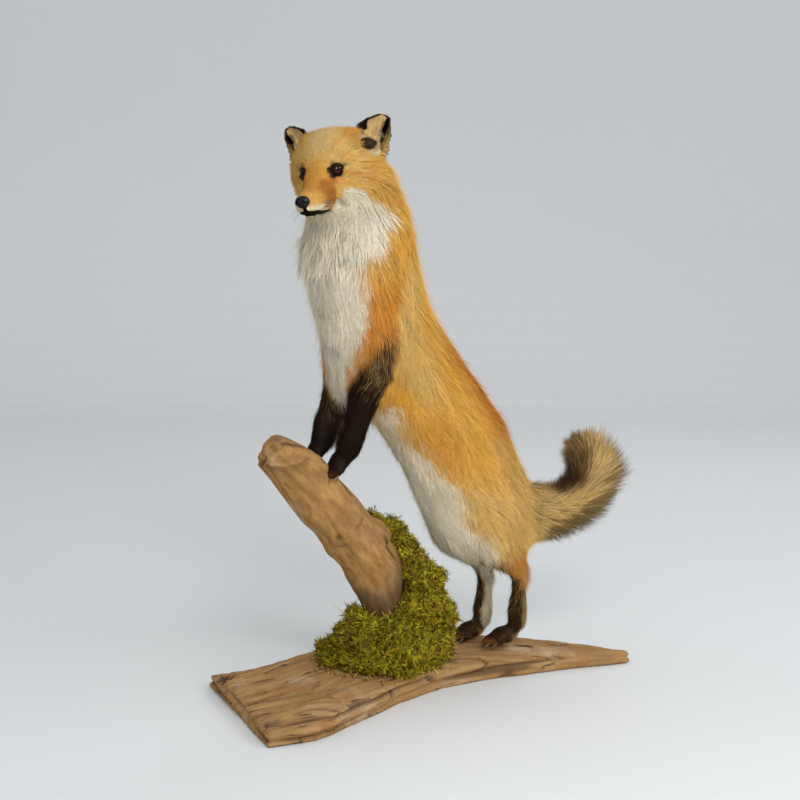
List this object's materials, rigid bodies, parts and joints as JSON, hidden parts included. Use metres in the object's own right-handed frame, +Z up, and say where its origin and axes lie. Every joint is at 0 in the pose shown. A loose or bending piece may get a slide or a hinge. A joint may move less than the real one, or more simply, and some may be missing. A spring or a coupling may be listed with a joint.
{
  "type": "taxidermy red fox standing against a driftwood branch on a mossy base",
  "caption": "Life-size red fox mount, upright on its hind feet with forepaws on a driftwood branch, head turned aside, brush curled up, on a mossy wood slab.",
  "frame": {"origin": "on the flat underside of the slab, under the foot of the branch", "axes": "+Z up; +X towards the fox's tail side and the slab's narrow tip, along the slab; -Y the side towards which the fox's head is turned"},
  "size_m": [0.5926, 0.4816, 0.7793],
  "materials": {
    "coat_ochre": "long golden ochre winter coat, matt",
    "coat_cream": "long cream and grey-white coat of the bib, cheeks and belly, matt",
    "coat_stocking": "short black-brown coat of the legs and feet, matt",
    "coat_brush": "long buff coat of the brush with dark tips, matt",
    "ear_coat": "short velvety black-brown coat, matt",
    "nose_leather": "dark pebbled nose leather, slightly glossy",
    "eye_glass": "glossy amber-brown glass eye",
    "driftwood": "smooth water-worn driftwood",
    "slab_wood": "weathered, cracked driftwood slab",
    "moss": "dried green moss"
  },
  "bodies": {
    "root": {"head": "coat_ochre", "muzzle": "coat_ochre", "lower_jaw": "coat_cream", "nose": "nose_leather", "eye_left": "eye_glass", "eye_right": "eye_glass", "ear_left": "ear_coat", "ear_right": "ear_coat", "neck": "coat_cream", "chest": "coat_ochre", "loin": "coat_ochre", "rump": "coat_ochre", "tail_base": "coat_brush", "tail_middle": "coat_brush", "tail_tip": "coat_brush", "base_slab": "slab_wood", "branch": "driftwood", "stump": "driftwood", "moss_mound": "moss", "moss_bank": "moss", "left_upper_arm": "coat_ochre", "left_forearm": "coat_stocking", "left_forepaw": "coat_stocking", "left_thigh": "coat_ochre", "left_shin": "coat_ochre", "left_pastern": "coat_stocking", "left_hindpaw": "coat_stocking", "right_upper_arm": "coat_ochre", "right_forearm": "coat_stocking", "right_forepaw": "coat_stocking", "right_thigh": "coat_ochre", "right_shin": "coat_ochre", "right_pastern": "coat_stocking", "right_hindpaw": "coat_stocking"}
  },
  "joints": []
}
